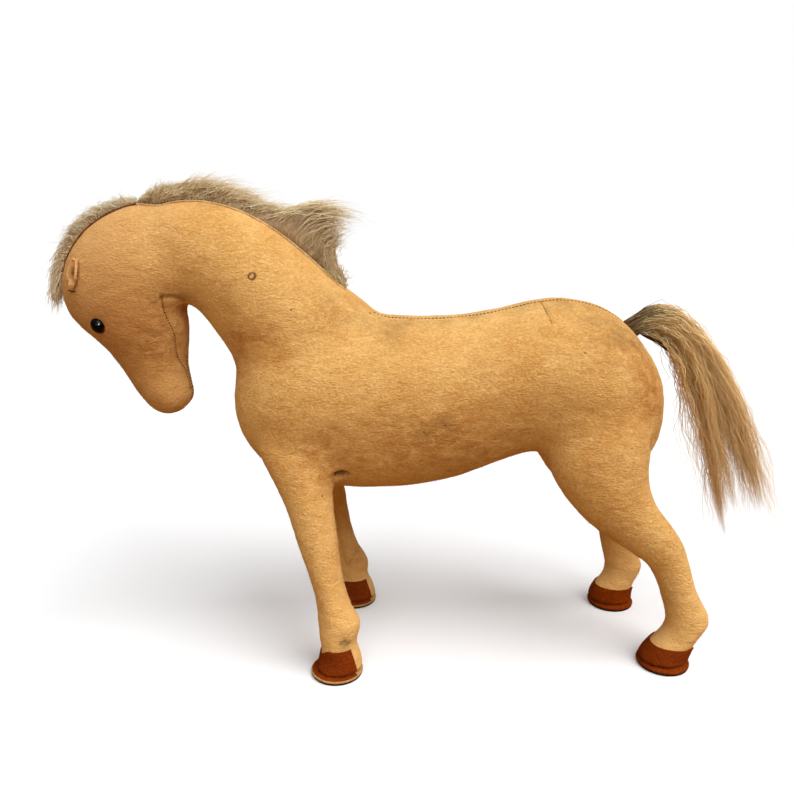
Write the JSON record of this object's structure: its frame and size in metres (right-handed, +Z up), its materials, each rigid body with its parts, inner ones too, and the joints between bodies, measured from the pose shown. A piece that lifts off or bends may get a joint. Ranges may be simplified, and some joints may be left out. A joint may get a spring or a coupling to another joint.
{
  "type": "stuffed horse",
  "caption": "Felt-covered stuffed toy horse standing with its head lowered, with glass eyes, hair mane and tail, and brown felt hooves on flat soles.",
  "frame": {"origin": "on the ground under the middle of the horse's length and stance", "axes": "+X from the head to the tail, +Y towards the horse's right side, +Z up"},
  "size_m": [0.3693, 0.0946, 0.24],
  "materials": {
    "golden_felt": "matte",
    "brown_felt": "matte",
    "sole_leather": "matte",
    "mane_hair": "matte",
    "tail_hair": "matte",
    "dock_leather": "matte",
    "black_glass": "gloss",
    "card": "matte",
    "twine": "matte",
    "steel_wire": "satin"
  },
  "bodies": {
    "horse": {"trunk": "golden_felt", "neck": "golden_felt", "head": "golden_felt", "leg_fore_left": "golden_felt", "leg_fore_right": "golden_felt", "leg_hind_left": "golden_felt", "leg_hind_right": "golden_felt", "hoof_fore_left": "brown_felt", "hoof_fore_right": "brown_felt", "hoof_hind_left": "brown_felt", "hoof_hind_right": "brown_felt", "sole_fore_left": "sole_leather", "sole_fore_right": "sole_leather", "sole_hind_left": "sole_leather", "sole_hind_right": "sole_leather", "insole_card_fore_left": "card", "insole_card_fore_right": "card", "insole_card_hind_left": "card", "insole_card_hind_right": "card", "leg_wire_fore_left": "steel_wire", "leg_wire_fore_right": "steel_wire", "leg_wire_hind_left": "steel_wire", "leg_wire_hind_right": "steel_wire", "spine_wire": "steel_wire", "eye_twine": "twine", "eye_left": "black_glass", "eye_right": "black_glass", "mane": "mane_hair", "forelock": "mane_hair"},
    "ear_left": {"ear_left": "golden_felt"},
    "ear_right": {"ear_right": "golden_felt"},
    "tail_dock": {"tail_dock": "dock_leather"},
    "tail_hair": {"tail_hair": "tail_hair"}
  },
  "joints": [
    {"name": "ear_left_turn", "type": "hinge", "parent": "horse", "child": "ear_left", "pos_m": [-0.16752, -0.01418, 0.19018], "axis": [0.819, -0.5411, -0.191], "range_deg": [0, 60], "stiffness_Nm_per_rad": 0.0003},
    {"name": "ear_right_turn", "type": "hinge", "parent": "horse", "child": "ear_right", "pos_m": [-0.16746, 0.01417, 0.19018], "axis": [-0.8258, -0.5302, 0.1921], "range_deg": [0, 60], "stiffness_Nm_per_rad": 0.0003},
    {"name": "tail_lift", "type": "hinge", "parent": "horse", "child": "tail_dock", "pos_m": [0.10393, 0, 0.16854], "axis": [0, -1, 0], "range_deg": [0, 35]},
    {"name": "tail_swing", "type": "hinge", "parent": "tail_dock", "child": "tail_hair", "pos_m": [0.11417, 0, 0.17571], "axis": [1, 0, 0], "range_deg": [-20, 20]}
  ]
}
